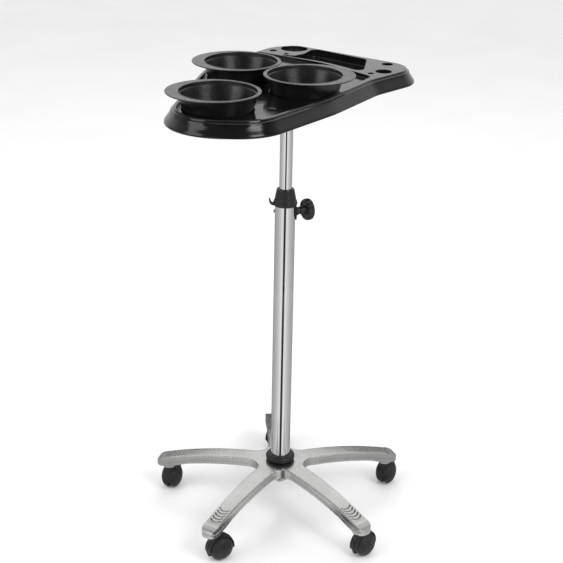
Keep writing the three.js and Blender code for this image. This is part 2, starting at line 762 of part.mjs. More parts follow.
// The deck's outline: the rim moved in by the lip, and cut short by the edge of the tool shelf.
function deckOutline() {
  const inside = insetCorners(RIM_CORNERS, TRAY_LIP);
  return filletedOutline([
    inside[0],
    inside[1],
    [...SHELF_RIGHT, 14],
    [...SHELF_BOW, 300],
    [...SHELF_LEFT, 12],
    inside[5],
    inside[6],
  ]);
}

// The inside of the tool shelf, between its front wall and the skirt.
function shelfHollow() {
  const inside = insetCorners(RIM_CORNERS, TRAY_LIP);
  const corners = [
    [SHELF_RIGHT[0] + 10, SHELF_RIGHT[1] + 4, 4],
    inside[3],
    inside[4],
    [SHELF_LEFT[0] + 10, SHELF_LEFT[1] + 6, 4],
    [SHELF_BOW[0] + 2, SHELF_BOW[1] + 3, 120],
  ];
  const [low, high] = [TRAY_DECK - TRAY_WALL - 1, TRAY_TOP - TRAY_WALL];
  return lofted(filletedOutline(corners), [[0, low], [0, high]]);
}

// A cone over a bowl's place, from the radius at its low end to the radius at its high end.
function coneAt({ x, y }, lowRadius, low, highRadius, high, sides) {
  return moved(turned([[0, low], [lowRadius, low], [highRadius, high], [0, high]], sides), x, y);
}

// The tray: a skirt with a rolled lower edge, a deck below the rim, the raised tool shelf with
// its holes and trough, a cup for each bowl, and a boss for each bracket screw.
function tray() {
  const rim = filletedOutline(RIM_CORNERS);
  const bottom = TRAY_SKIRT_BOTTOM;
  const outside = lofted(rim, [
    [12.5, bottom + 0.6],
    [15.5, bottom],
    [17.5, bottom + 1.6],
    [17, bottom + 4.5],
    [11.8, bottom + 12],
    [7, bottom + 19.5],
    [5.4, bottom + 23.6],
    [2.2, bottom + 24.6],
    [1.4, bottom + 27],
    [0, TRAY_TOP],
  ]);
  const hollow = lofted(rim, [
    [13.5, bottom - 3],
    [13.5, bottom + 5],
    [8.2, bottom + 13],
    [3.6, TRAY_DECK - TRAY_WALL],
  ]);
  const trough = filletedOutline(TROUGH_CORNERS, 22.5);
  const deck = lofted(deckOutline(), [[-1.6, TRAY_DECK], [0, TRAY_DECK + 1.6], [0, TRAY_TOP + 2]]);

  let shell = outside.subtract(hollow).subtract(shelfHollow()).subtract(deck);
  shell = shell.add(lofted(trough, [
    [TRAY_WALL - 1.5, TROUGH_FLOOR - TRAY_WALL],
    [TRAY_WALL, TROUGH_FLOOR],
    [TRAY_WALL, TRAY_TOP - 1],
  ]));
  for (const bowl of BOWLS) {
    shell = shell.add(coneAt(bowl, CUP_FOOT_RADIUS + TRAY_WALL, TRAY_UNDERSIDE,
      CUP_DECK_RADIUS + TRAY_WALL, TRAY_DECK, 28));
  }
  for (const at of screwPlaces()) {
    shell = shell.add(moved(rod(SCREW_BOSS_RADIUS, TRAY_UNDERSIDE, TRAY_DECK - 1, 12), at.x, at.y));
  }
  for (const [x, y, radius] of SHELF_HOLES) {
    const collar = rod(radius + SHELF_HOLE_WALL, HOLE_COLLAR_BOTTOM, TRAY_TOP - 1, 16);
    shell = shell.add(moved(collar, x, y));
  }

  shell = shell.subtract(lofted(trough, [
    [-2, TROUGH_FLOOR],
    [0, TROUGH_FLOOR + 2],
    [0, TRAY_TOP + 2],
  ]));
  for (const bowl of BOWLS) {
    const growth = (CUP_DECK_RADIUS - CUP_FOOT_RADIUS) / (TRAY_DECK - BOWL_SEAT);
    shell = shell.subtract(coneAt(bowl, CUP_FOOT_RADIUS, BOWL_SEAT,
      CUP_DECK_RADIUS + 2 * growth, TRAY_DECK + 2, 28));
  }
  for (const at of screwPlaces()) {
    const pilot = rod(SCREW_RADIUS + GAP, TRAY_UNDERSIDE - 2, SCREW_TOP + 2, 12);
    shell = shell.subtract(moved(pilot, at.x, at.y));
  }
  for (const [x, y, radius] of SHELF_HOLES) {
    shell = shell.subtract(moved(rod(radius, TRAY_UNDERSIDE, TRAY_TOP + 2, 16), x, y));
  }
  const studHole = rod(DECK_STUD_RADIUS + GAP, TRAY_DECK - 10, TRAY_DECK + 2, 12);
  return shell.subtract(moved(studHole, ...DECK_STUD));
}

// The round-headed stud in the deck near the front edge.
function deckStud() {
  return turned([
    [0, TRAY_DECK - 9],
    [DECK_STUD_RADIUS, TRAY_DECK - 9],
    [DECK_STUD_RADIUS, TRAY_DECK + GAP],
    [7.6, TRAY_DECK + GAP],
    [7.6, TRAY_DECK + 1.6],
    [5.4, TRAY_DECK + 2.8],
    [0, TRAY_DECK + 2.8],
  ], 20);
}

place('tray', tray(), glossyBlack());
place('deck_stud', deckStud(), satinBlack()).position.set(...DECK_STUD, 0);

// ---------------------------------------------------------------- bowls

// A tapered bowl with a flange that widens on one side into a handle lobe.
function tintBowl(lobeDegrees) {
  const foot = BOWL_SEAT + GAP;
  const outerAt = (height) => BOWL_FOOT_RADIUS + (height - BOWL_SEAT) * BOWL_SLOPE;
  const profile = [
    [0, foot],
    [BOWL_FOOT_RADIUS - 3, foot],
    [outerAt(foot + 2), foot + 2],
    [outerAt(BOWL_TOP - 5), BOWL_TOP - 5],
    [BOWL_FLANGE_RADIUS - 0.6, BOWL_TOP - 2.6],
    [BOWL_FLANGE_RADIUS, BOWL_TOP - 1],
    [BOWL_FLANGE_RADIUS - 1, BOWL_TOP],
    [BOWL_MOUTH_RADIUS, BOWL_TOP],
    [BOWL_MOUTH_RADIUS - 0.6, BOWL_TOP - 7.5],
    [outerAt(BOWL_TOP - 8.5) - BOWL_WALL, BOWL_TOP - 8.5],
    [outerAt(foot + 7) - BOWL_WALL, foot + 7],
    [BOWL_FOOT_RADIUS - 5.5, foot + 3],
    [0, foot + 3],
  ];
  const points = profile.map(([radius, height]) => new THREE.Vector2(radius, height));
  const geometry = new THREE.LatheGeometry(points, BOWL_SIDES).rotateX(Math.PI / 2);
  const position = geometry.attributes.position;
  for (let i = 0; i < position.count; i += 1) {
    const radius = Math.hypot(position.getX(i), position.getY(i));
    if (radius < BOWL_FLANGE_RADIUS - 2) continue;
    const angle = Math.atan2(position.getY(i), position.getX(i)) - radians(lobeDegrees);
    const stretch = 1 + (BOWL_LOBE / radius) * ((1 + Math.cos(angle)) / 2) ** 2;
    position.setXY(i, position.getX(i) * stretch, position.getY(i) * stretch);
  }
  return solidOf(geometry);
}

for (const { name, x, y, lobe } of BOWLS) {
  place(`bowl_${name}`, tintBowl(lobe), bowlBlack()).position.set(x, y, 0);
}

export default trolley;
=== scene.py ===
"""Looks for the rolling salon trolley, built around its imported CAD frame.

Shapes are worked out in millimetres in the frame of the CAD part and turned into metres when a mesh
is made. Every piece takes its body and its material slot from the CAD node that it stands for.
"""

import json
import math

import bmesh
import bpy
from mathutils import Matrix, Vector

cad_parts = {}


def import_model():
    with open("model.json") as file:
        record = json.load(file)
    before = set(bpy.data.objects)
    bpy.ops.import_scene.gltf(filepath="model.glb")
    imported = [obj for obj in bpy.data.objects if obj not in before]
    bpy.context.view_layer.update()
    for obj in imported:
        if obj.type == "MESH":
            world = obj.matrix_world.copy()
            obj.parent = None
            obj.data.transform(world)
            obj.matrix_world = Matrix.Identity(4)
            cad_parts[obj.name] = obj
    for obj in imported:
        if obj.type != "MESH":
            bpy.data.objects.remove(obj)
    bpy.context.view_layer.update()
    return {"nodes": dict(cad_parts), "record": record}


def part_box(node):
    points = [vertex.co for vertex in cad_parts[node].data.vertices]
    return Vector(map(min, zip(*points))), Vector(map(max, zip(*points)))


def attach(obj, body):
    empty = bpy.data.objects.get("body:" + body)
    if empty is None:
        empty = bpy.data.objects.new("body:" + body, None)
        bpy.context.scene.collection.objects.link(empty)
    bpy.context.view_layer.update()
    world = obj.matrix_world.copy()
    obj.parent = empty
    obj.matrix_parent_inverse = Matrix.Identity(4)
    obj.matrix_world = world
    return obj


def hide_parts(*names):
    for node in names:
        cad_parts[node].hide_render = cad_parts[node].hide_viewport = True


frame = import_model()

MM = 0.001
BODY_OF = {n: body for body, nodes in frame["record"]["behaviour"]["bodies"].items() for n in nodes}
SLOT_OF = {entry["node"]: entry["material_slot"] for entry in frame["record"]["subparts"]}


def span(node):
    """Lowest and highest corner of a CAD node, in millimetres."""
    low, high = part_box(node)
    return [v / MM for v in low], [v / MM for v in high]


# ------------------------------------------------------------------ materials


class Shader:
    """A material with a Principled BSDF, and short ways to add patterns to it."""

    def __init__(self, name, roughness, metallic=0.0, ior=1.5):
        self.material = bpy.data.materials.new(name)
        self.material.use_nodes = True
        self.nodes = self.material.node_tree.nodes
        self.links = self.material.node_tree.links
        self.bsdf = self.nodes["Principled BSDF"]
        self.bsdf.inputs["Roughness"].default_value = roughness
        self.bsdf.inputs["Metallic"].default_value = metallic
        self.bsdf.inputs["IOR"].default_value = ior
        self.place = self.nodes.new("ShaderNodeTexCoord").outputs["Object"]

    def noise(self, scale, detail=3.0, stretch=(1, 1, 1)):
        mapping = self.nodes.new("ShaderNodeMapping")
        mapping.inputs["Scale"].default_value = stretch
        self.links.new(self.place, mapping.inputs["Vector"])
        texture = self.nodes.new("ShaderNodeTexNoise")
        texture.inputs["Scale"].default_value = scale
        texture.inputs["Detail"].default_value = detail
        self.links.new(mapping.outputs["Vector"], texture.inputs["Vector"])
        return texture.outputs["Fac"]

    def spread(self, value, low, high, from_low=0.3, from_high=0.7):
        remap = self.nodes.new("ShaderNodeMapRange")
        for socket, number in (("From Min", from_low), ("From Max", from_high),
                               ("To Min", low), ("To Max", high)):
            remap.inputs[socket].default_value = number
        self.links.new(value, remap.inputs["Value"])
        return remap.outputs["Result"]

    def colours(self, value, first, second):
        ramp = self.nodes.new("ShaderNodeValToRGB")
        for element, colour, position in zip(ramp.color_ramp.elements, (first, second), (0.3, 0.7)):
            element.color = (*colour, 1)
            element.position = position
        self.links.new(value, ramp.inputs["Fac"])
        self.links.new(ramp.outputs["Color"], self.bsdf.inputs["Base Color"])

    def roughness(self, value):
        self.links.new(value, self.bsdf.inputs["Roughness"])

    def bump(self, value, strength, distance):
        bump = self.nodes.new("ShaderNodeBump")
        bump.inputs["Strength"].default_value = strength
        bump.inputs["Distance"].default_value = distance
        self.links.new(value, bump.inputs["Height"])
        self.links.new(bump.outputs["Normal"], self.bsdf.inputs["Normal"])


def chrome_material():
    s = Shader("chrome_plate", 0.07, 1.0)
    s.colours(s.noise(9, 4, (1, 1, 0.25)), (0.76, 0.755, 0.75), (0.84, 0.84, 0.845))
    s.roughness(s.spread(s.noise(40, 5, (1, 1, 0.3)), 0.05, 0.13))
    s.bump(s.noise(900, 2, (1, 1, 0.02)), 0.05, 0.0002)
    return s.material


def aluminium_material():
    s = Shader("polished_casting", 0.2, 1.0)
    s.colours(s.noise(14, 4), (0.5, 0.496, 0.49), (0.6, 0.596, 0.588))
    s.roughness(s.spread(s.noise(70, 5), 0.2, 0.33))
    s.bump(s.noise(1200, 3), 0.05, 0.00005)
    return s.material


def steel_material():
    s = Shader("zinc_plated_steel", 0.3, 1.0)
    s.colours(s.noise(120, 4), (0.48, 0.48, 0.49), (0.62, 0.62, 0.62))
    s.roughness(s.spread(s.noise(200, 4), 0.24, 0.42))
    s.bump(s.noise(1500, 2), 0.1, 0.0002)
    return s.material


def tray_material():
    s = Shader("glossy_moulded_black", 0.15, ior=1.42)
    s.colours(s.noise(22, 5), (0.0035, 0.0035, 0.0038), (0.0075, 0.0075, 0.008))
    s.roughness(s.spread(s.noise(45, 6), 0.1, 0.2))
    s.bump(s.noise(24, 3), 0.06, 0.0012)
    return s.material


def bowl_material():
    s = Shader("satin_moulded_black", 0.3, ior=1.55)
    s.colours(s.noise(30, 5), (0.0055, 0.0055, 0.006), (0.01, 0.01, 0.0105))
    s.roughness(s.spread(s.noise(90, 5), 0.24, 0.36))
    s.bump(s.noise(1400, 3), 0.12, 0.0002)
    return s.material


def fitting_material():
    s = Shader("grained_black_plastic", 0.4, ior=1.42)
    s.colours(s.noise(60, 5), (0.007, 0.007, 0.0075), (0.015, 0.015, 0.0155))
    s.roughness(s.spread(s.noise(140, 5), 0.33, 0.5))
    s.bump(s.noise(1800, 3), 0.25, 0.0003)
    return s.material


def wheel_material():
    s = Shader("wheel_nylon_black", 0.45, ior=1.42)
    s.colours(s.noise(75, 6), (0.008, 0.008, 0.0085), (0.018, 0.018, 0.0185))
    s.roughness(s.spread(s.noise(110, 5), 0.36, 0.58))
    s.bump(s.noise(1300, 4), 0.3, 0.0004)
    return s.material


def nylon_material():
    s = Shader("bush_nylon", 0.5)
    s.colours(s.noise(80, 4), (0.03, 0.03, 0.031), (0.055, 0.055, 0.056))
    s.roughness(s.spread(s.noise(120, 4), 0.42, 0.6))
    s.bump(s.noise(1200, 3), 0.2, 0.0003)
    return s.material


def brass_material():
    s = Shader("turned_brass", 0.3, 1.0)
    s.colours(s.noise(150, 4), (0.5, 0.37, 0.15), (0.66, 0.5, 0.23))
    s.roughness(s.spread(s.noise(200, 4), 0.25, 0.42))
    s.bump(s.noise(1500, 2), 0.15, 0.0002)
    return s.material


MATERIAL_OF = {
    "polished_aluminium": aluminium_material(),
    "chrome": chrome_material(),
    "steel": steel_material(),
    "tray_black": tray_material(),
    "bowl_black": bowl_material(),
    "fitting_black": fitting_material(),
    "wheel_black": wheel_material(),
    "nylon": nylon_material(),
    "brass": brass_material(),
}

# ------------------------------------------------------------------ mesh tools

SMOOTH_ANGLE = math.radians(32)
FILLET_STEPS = 5


class Solid:
    """A closed mesh in millimetres, kept as plain points and faces until it is made."""

    def __init__(self, points, faces):
        self.points = [Vector(p) for p in points]
        self.faces = faces

    def moved(self, matrix):
        return Solid([matrix @ p for p in self.points], self.faces)

    def object(self, name):
        mesh = bpy.data.meshes.new(name)
        mesh.from_pydata([p * MM for p in self.points], [], self.faces)
        made = bpy.data.objects.new(name, mesh)
        bpy.context.scene.collection.objects.link(made)
        return made


def joined(solids):
    """Solids that don't touch, as one."""
    points, faces = [], []
    for solid in solids:
        first = len(points)
        points += solid.points
        faces += [[first + i for i in face] for face in solid.faces]
    return Solid(points, faces)


def at(x, y, z=0.0):
    return Matrix.Translation((x, y, z))


def spin(degrees, axis="Z"):
    return Matrix.Rotation(math.radians(degrees), 4, axis)


def rounded(corners, closed=False):
    """A flat path with arcs at its corners, from (x, y) or (x, y, radius)."""
    path = []
    count = len(corners)
    for i, corner in enumerate(corners):
        here = Vector(corner[:2])
        radius = corner[2] if len(corner) > 2 else 0
        if not radius or (not closed and i in (0, count - 1)):
            path.append((here.x, here.y))
            continue
        arriving = (here - Vector(corners[i - 1][:2])).normalized()
        leaving = (Vector(corners[(i + 1) % count][:2]) - here).normalized()
        angle = math.atan2(arriving.x * leaving.y - arriving.y * leaving.x, arriving.dot(leaving))
        side = math.copysign(1, angle)
        start = here - arriving * radius * math.tan(abs(angle) / 2)
        centre = start + Vector((-arriving.y, arriving.x)) * side * radius
        steps = max(2, round(FILLET_STEPS * abs(angle) / (math.pi / 2)))
        arm = start - centre
        for k in range(steps + 1):
            turn = angle * k / steps
            cos, sin = math.cos(turn), math.sin(turn)
            path.append((centre.x + arm.x * cos - arm.y * sin,
                         centre.y + arm.x * sin + arm.y * cos))
    return path


def turned(profile, sides=96, shape=None):
    """A solid of revolution about Z. shape(radius, height, angle) may change the radius."""
    ring_profile = profile[0] == profile[-1]
    levels = profile[:-1] if ring_profile else profile
    points, rings = [], []
    for radius, height in levels:
        first = len(points)
        if radius < 1e-9:
            points.append((0, 0, height))
            rings.append([first])
            continue
        for k in range(sides):
            angle = 2 * math.pi * k / sides
            reach = shape(radius, height, angle) if shape else radius
            points.append((reach * math.cos(angle), reach * math.sin(angle), height))
        rings.append(list(range(first, first + sides)))
    faces = []
    pairs = list(zip(rings, rings[1:])) + ([(rings[-1], rings[0])] if ring_profile else [])
    for low, high in pairs:
        for k in range(sides):
            n = (k + 1) % sides
            if len(low) == 1:
                faces.append([low[0], high[n], high[k]])
            elif len(high) == 1:
                faces.append([low[k], low[n], high[0]])
            else:
                faces.append([low[k], low[n], high[n], high[k]])
    return Solid(points, faces)


def rod(radius, low, high, sides=48):
    return turned([(0, low), (radius, low), (radius, high), (0, high)], sides)


def outline(corners, step=4.0):
    """Points with outward normals along a closed outline, from (x, y, radius) corners."""
    found = []
    count = len(corners)
    for i, (x, y, radius) in enumerate(corners):
        here = Vector((x, y))
        arriving = (here - Vector(corners[i - 1][:2])).normalized()
        leaving = (Vector(corners[(i + 1) % count][:2]) - here).normalized()
        angle = math.atan2(arriving.x * leaving.y - arriving.y * leaving.x, arriving.dot(leaving))
        side = math.copysign(1, angle)
        start = here - arriving * radius * math.tan(abs(angle) / 2)
        normal = Vector((arriving.y, -arriving.x))
        centre = start - normal * side * radius
        steps = max(2, math.ceil(math.degrees(abs(angle)) / step))
        for k in range(steps + 1):
            turn = angle * k / steps
            cos, sin = math.cos(turn), math.sin(turn)
            facing = Vector((normal.x * cos - normal.y * sin, normal.x * sin + normal.y * cos))
            found.append((centre + facing * side * radius, facing))
    return found


def inset(corners, distance):
    """The corners of an outline, with every side moved inwards."""
    found = []
    for i, (x, y, radius) in enumerate(corners):
        here = Vector((x, y))
        arriving = (here - Vector(corners[i - 1][:2])).normalized()
        leaving = (Vector(corners[(i + 1) % len(corners)][:2]) - here).normalized()
        inwards = Vector((-arriving.y - leaving.y, arriving.x + leaving.x))
        here += inwards * distance / (1 + arriving.dot(leaving))
        found.append((here.x, here.y, max(radius - distance, 2)))
    return found


def lofted(path, profile):
    """A closed solid through copies of one outline, from (offset, height) steps, bottom first."""
    count = len(path)
    points = [(spot.x + normal.x * offset, spot.y + normal.y * offset, height)
              for offset, height in profile for spot, normal in path]
    faces = [list(range(count))[::-1]]
    for level in range(len(profile) - 1):
        for k in range(count):
            a, b = level * count + k, level * count + (k + 1) % count
            faces.append([a, b, b + count, a + count])
    faces.append([(len(profile) - 1) * count + k for k in range(count)])
    return Solid(points, faces)


def prism(path, low, high):
    """A flat closed path, counter-clockwise, made thick along Z."""
    count = len(path)
    points = [(x, y, z) for z in (low, high) for x, y in path]
    faces = [list(range(count))[::-1], [count + k for k in range(count)]]
    faces += [[k, (k + 1) % count, (k + 1) % count + count, k + count] for k in range(count)]
    return Solid(points, faces)


def swept(section, from_degrees, to_degrees, steps):
    """A closed section of (radius, height), counter-clockwise, carried part of the way round Z."""
    points = []
    for k in range(steps + 1):
        angle = math.radians(from_degrees + (to_degrees - from_degrees) * k / steps)
        points += [(r * math.cos(angle), r * math.sin(angle), z) for r, z in section]
    count = len(section)
    faces = []
    for k in range(steps):
        for i in range(count):
            a, b = k * count + i, k * count + (i + 1) % count
            faces.append([a, a + count, b + count, b])
    faces.append(list(range(count)))
    faces.append([steps * count + i for i in range(count)][::-1])
    return Solid(points, faces)


def carve(target, solid, operation="DIFFERENCE"):
    """Subtracts, adds or intersects a solid, and leaves the result in target's mesh."""
    tool = solid.object("tool")
    modifier = target.modifiers.new("carve", "BOOLEAN")
    modifier.operation = operation
    modifier.object = tool
    modifier.solver = "MANIFOLD"
    graph = bpy.context.evaluated_depsgraph_get()
    made = bpy.data.meshes.new_from_object(target.evaluated_get(graph), depsgraph=graph)
    target.modifiers.clear()
    if not made.polygons:
        raise RuntimeError(f"{target.name}: {operation} left nothing")
    old = target.data
    target.data = made
    bpy.data.meshes.remove(old)
    bpy.data.objects.remove(tool)
    return target


def smooth(piece, angle=SMOOTH_ANGLE):
    piece.data.shade_smooth()
    piece.data.set_sharp_from_angle(angle=angle)
    weighted = piece.modifiers.new("even_normals", "WEIGHTED_NORMAL")
    weighted.keep_sharp = True
    return piece


def dress(piece, node):
    """Gives a piece the finish, slot and body of the CAD node that it replaces."""
    smooth(piece)
    piece.data.materials.clear()
    piece.data.materials.append(MATERIAL_OF[SLOT_OF[node]])
    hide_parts(node)
    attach(piece, BODY_OF[node])
    return piece


# ------------------------------------------------------------------ base

UPRIGHT = spin(90, "X")
LEGS = 5
LEG_FIRST = 22.3
LEG_REACH = 272
LEG_HALF_WIDTH = 16
LEG_BOTTOM, LEG_TOP = 62, 84.5
VALLEY_REACH, VALLEY_FILLET = 34, 27
TOE_LENGTH, TOE_DROP = 36, 15
TOE_ROUNDING = 13
TOE_LINE_REACH, TOE_LINE_HEIGHT = 258, 81.7
GROOVES, GROOVE_FIRST, GROOVE_PITCH = 5, 198, 8
GROOVE_RADIUS, GROOVE_REACH = 14, 58
SOCKET_RADIUS, SOCKET_BOTTOM = 13.5, 58
STEM_BORE_RADIUS, STEM_BORE_TOP = 5.5, 78.5
BOLT_HEAD = 6
HUB_BORE_RADIUS, SPIGOT_BORE_RADIUS = 6.5, 4.3
TUBE_BOTTOM = 117
ARCH_START, ARCH_LENGTH, ARCH_POWER = 50, 200, 1.9
LEG_THINNING, THINNING_END, THINNING_FADE = 0.86, 235, 35
SLICE = 8
STEM_REACH = 247
GAP = 0.3


def leg_angle(leg):
    return LEG_FIRST + 360 * leg / LEGS


def star_corners():
    corners = []
    for leg in range(LEGS):
        heading = math.radians(leg_angle(leg))
        along = Vector((math.cos(heading), math.sin(heading)))
        across = Vector((-along.y, along.x))
        for side in (-1, 1):
            tip = along * LEG_REACH + across * side * LEG_HALF_WIDTH
            corners.append((tip.x, tip.y, TOE_ROUNDING))
        valley = math.radians(leg_angle(leg) + 180 / LEGS)
        corners.append((VALLEY_REACH * math.cos(valley), VALLEY_REACH * math.sin(valley),
                        VALLEY_FILLET))
    return corners


def arched_height(reach, height, crest):
    """The height of a point of the flat star once the legs arch up to the hub."""
    along = min(max((reach - ARCH_START) / ARCH_LENGTH, 0), 1)
    fade = min(max((reach - THINNING_END) / THINNING_FADE + 1, 0), 1)
    thickness = LEG_THINNING + (1 - LEG_THINNING) * fade * fade * (3 - 2 * fade)
    return LEG_TOP + (crest - LEG_TOP) * (1 - along**ARCH_POWER) - (LEG_TOP - height) * thickness


def cut_plane(mesh, faces, point, normal):
    parts = {item for face in faces for item in (face, *face.edges, *face.verts)}
    bmesh.ops.bisect_plane(mesh, geom=list(parts), plane_co=point, plane_no=normal, dist=1e-7)


def bend_legs(casting, crest):
    """Slices the flat star across its legs and lifts it into its arch."""
    mesh = bmesh.new()
    mesh.from_mesh(casting.data)
    for leg in range(LEGS):
        cut_plane(mesh, mesh.faces, (0, 0, 0), spin(leg_angle(leg)) @ Vector((0, 1, 0)))
    half_sector = math.cos(math.pi / LEGS)
    for leg in range(LEGS):
        along = spin(leg_angle(leg)) @ Vector((1, 0, 0))
        for reach in range(ARCH_START, LEG_REACH, SLICE):
            own = []
            for face in mesh.faces:
                centre = face.calc_center_median()
                if centre.dot(along) > half_sector * math.hypot(centre.x, centre.y):
                    own.append(face)
            cut_plane(mesh, own, along * reach * MM, along)
    for point in mesh.verts:
        reach = math.hypot(point.co.x, point.co.y) / MM
        point.co.z = arched_height(reach, point.co.z / MM, crest) * MM
    mesh.to_mesh(casting.data)
    mesh.free()


def base_casting():
    crest = span("star_base")[1][2]
    hub_bottom = span("hub_bolt")[0][2] + BOLT_HEAD + GAP
    spigot_bottom = span("column_spigot")[0][2] - GAP
    web_under = arched_height(0, LEG_BOTTOM, crest)
    profile = rounded([(-3, LEG_BOTTOM), (0, LEG_BOTTOM, 1.5), (0, 69.6, 0.4), (-1.3, 70.4, 0.4),
                       (-1.3, 71.8, 0.4), (0, 72.6, 0.4), (0, LEG_TOP - 0.2, 2.6), (-7, LEG_TOP)])
    casting = lofted(outline(star_corners(), 5), profile).object("base_casting")
    toe_start = LEG_REACH + 0.5 - TOE_LENGTH
    arc = [(toe_start + TOE_LENGTH * math.cos(a), LEG_TOP - TOE_DROP * (1 - math.sin(a)))
           for a in (math.pi / 2 * k / 14 for k in range(14))]
    envelope = [(0, LEG_BOTTOM - 3), (LEG_REACH + 0.5, LEG_BOTTOM - 3), *arc,
                (toe_start, LEG_TOP), (toe_start, LEG_TOP + 3), (0, LEG_TOP + 3)]
    carve(casting, turned(envelope, 288), "INTERSECT")
    bend_legs(casting, crest)
    section = [(GROOVE_RADIUS + 1.7 * math.cos(a), LEG_TOP + 3.4 * math.sin(a))
               for a in (2 * math.pi * k / 12 for k in range(12))]
    groove = swept(section, -GROOVE_REACH, GROOVE_REACH, 24)
    cutters = [groove.moved(at(GROOVE_FIRST + GROOVE_PITCH * k, 0)) for k in range(GROOVES)]
    cutters.append(rod(0.8, -24, 24, 12).moved(at(TOE_LINE_REACH, 0, TOE_LINE_HEIGHT) @ UPRIGHT))
    for cutter in cutters:
        for point in cutter.points:
            point.z = arched_height(math.hypot(point.x, point.y), point.z, crest)
    for leg in range(LEGS):
        for cutter in cutters:
            carve(casting, cutter.moved(spin(leg_angle(leg))))
    hub = rounded([(0, hub_bottom), (15, hub_bottom, 3), (22, hub_bottom + 4, 4),
                   (26, hub_bottom + 13, 6), (31, web_under + 4), (0, web_under + 4)])
    carve(casting, turned(hub, 120), "UNION")
    stems = [spin(leg_angle(leg)) @ at(STEM_REACH, 0) for leg in range(LEGS)]
    socket = rod(SOCKET_RADIUS, SOCKET_BOTTOM, LEG_BOTTOM + 10, 72)
    carve(casting, joined([socket.moved(stem) for stem in stems]), "UNION")
    spigot = span("column_spigot")[1][0] - 0.7 + GAP
    carve(casting, rod(spigot, spigot_bottom, crest + 5, 96))
    carve(casting, rod(HUB_BORE_RADIUS, hub_bottom - 5, spigot_bottom + 5))
    bore = rod(STEM_BORE_RADIUS, SOCKET_BOTTOM - 5, STEM_BORE_TOP)
    carve(casting, joined([bore.moved(stem) for stem in stems]))
    return casting


def column_foot():
    low, high = span("column_spigot")
    spigot = turned(rounded([
        (0, low[2]), (17, low[2]), (17, TUBE_BOTTOM), (17.7, TUBE_BOTTOM + 1),
        (17.7, high[2] - 4, 1), (14.7, high[2], 1), (0, high[2]),
    ])).object("column_stub")
    carve(spigot, rod(SPIGOT_BORE_RADIUS, low[2] - 5, span("hub_bolt")[1][2] + 1))
    dress(spigot, "column_spigot")
    low, high = span("base_ring")
    bottom, top, reach = low[2], high[2], high[0]
    ring = [(17.3, bottom), (24, bottom, 2), (reach, bottom + 3.2, 5), (reach, top - 3.2, 5),
            (24.2, top, 2), (20.3, top), (20.3, bottom + 3.2), (17.3, bottom + 3.2), (17.3, bottom)]
    dress(turned(rounded(ring)).object("foot_ring"), "base_ring")


dress(base_casting(), "star_base")
column_foot()

# ------------------------------------------------------------------ casters

HEADINGS = [66, 50, 72, 32, 45]
WHEEL_RADIUS = 25
TRAIL = 15
HOOD_INSIDE = 26.4
FIN_RADIUS, FIN_HALF = 29.6, 2.1
STEM_RADIUS, STEM_COLLAR_TOP = 5, 57.7


def wheel_face():
    """One wheel of a twin, from its inner face outwards along Z."""
    return turned(rounded([
        (0, 12.5), (3.5, 12.5), (3.5, 2.8), (22, 2.8), (WHEEL_RADIUS, 3.4, 0.8),
        (WHEEL_RADIUS, 9.6, 1.2), (23.9, 11.6, 2), (21.4, 14.6, 5), (17.2, 17.6, 1),
        (16.6, 17.2, 0.4), (16.0, 18.2, 0.6), (10.5, 20.1, 4), (6.5, 20.6, 0.4),
        (6.1, 20.1, 0.4), (5.6, 20.8, 0.4), (0, 21),
    ]), 112)


def caster_hood():
    """The fender round both wheels, with the fin between them and the neck over the stem."""
    fender = rounded([(HOOD_INSIDE, -10.6, 0.6), (28.2, -10.6, 0.9), (28.9, 0, 12),
                      (28.2, 10.6, 0.9), (HOOD_INSIDE, 10.6, 0.6)], True)
    hood = swept(fender, -10, 190, 72).object("hood")
    steps, first, last = 72, -30, 210
    rim = [(FIN_RADIUS * math.cos(a), FIN_RADIUS * math.sin(a)) for a in
           (math.radians(first + (last - first) * k / steps) for k in range(steps + 1))]
    carve(hood, prism(rim, -FIN_HALF, FIN_HALF), "UNION")
    neck = turned(rounded([(0, -9.5), (9.5, -9.5), (9.5, 30.4, 1.5), (7.5, 31, 0.5), (0, 31)]), 64)
    neck = neck.moved(at(-TRAIL, 0) @ spin(-90, "X"))
    carve(hood, neck, "UNION")
    for side in (-1, 1):
        low, high = sorted((side * FIN_HALF, side * 24))
        carve(hood, rod(HOOD_INSIDE, low, high, 96))
    carve(hood, rod(3.3, -9, 9))
    return hood


def caster_pieces(number):
    name = f"caster_{number}"
    low, high = span(f"{name}_stem")
    place = at((low[0] + high[0]) / 2, (low[1] + high[1]) / 2) @ spin(HEADINGS[number - 1])
    into_wheel = place @ at(TRAIL, 0, WHEEL_RADIUS) @ UPRIGHT
    for side, turn in (("left", spin(180, "X")), ("right", Matrix.Identity(4))):
        wheel = wheel_face().moved(into_wheel @ turn)
        dress(wheel.object(f"{name}_wheel_{side}_cover"), f"{name}_wheel_{side}")
    hood = caster_hood()
    hood.name = f"{name}_hood_shell"
    hood.data.transform(Matrix.Scale(MM, 4) @ into_wheel @ Matrix.Scale(1 / MM, 4))
    carve(hood, rod(STEM_RADIUS + GAP, low[2] - GAP, 60).moved(place))
    dress(hood, f"{name}_hood")
    collar = STEM_COLLAR_TOP
    stem = turned(rounded([
        (0, low[2]), (STEM_RADIUS, low[2], 0.6), (STEM_RADIUS, collar - 1.4),
        (8.5, collar - 1.4, 0.3), (8.5, collar, 0.3), (STEM_RADIUS, collar),
        (STEM_RADIUS, high[2] - 3, 0.5), (3.5, high[2]), (0, high[2]),
    ]), 48)
    dress(stem.moved(place).object(f"{name}_stem_pin"), f"{name}_stem")


for caster in range(1, LEGS + 1):
    caster_pieces(caster)

# ------------------------------------------------------------------ column

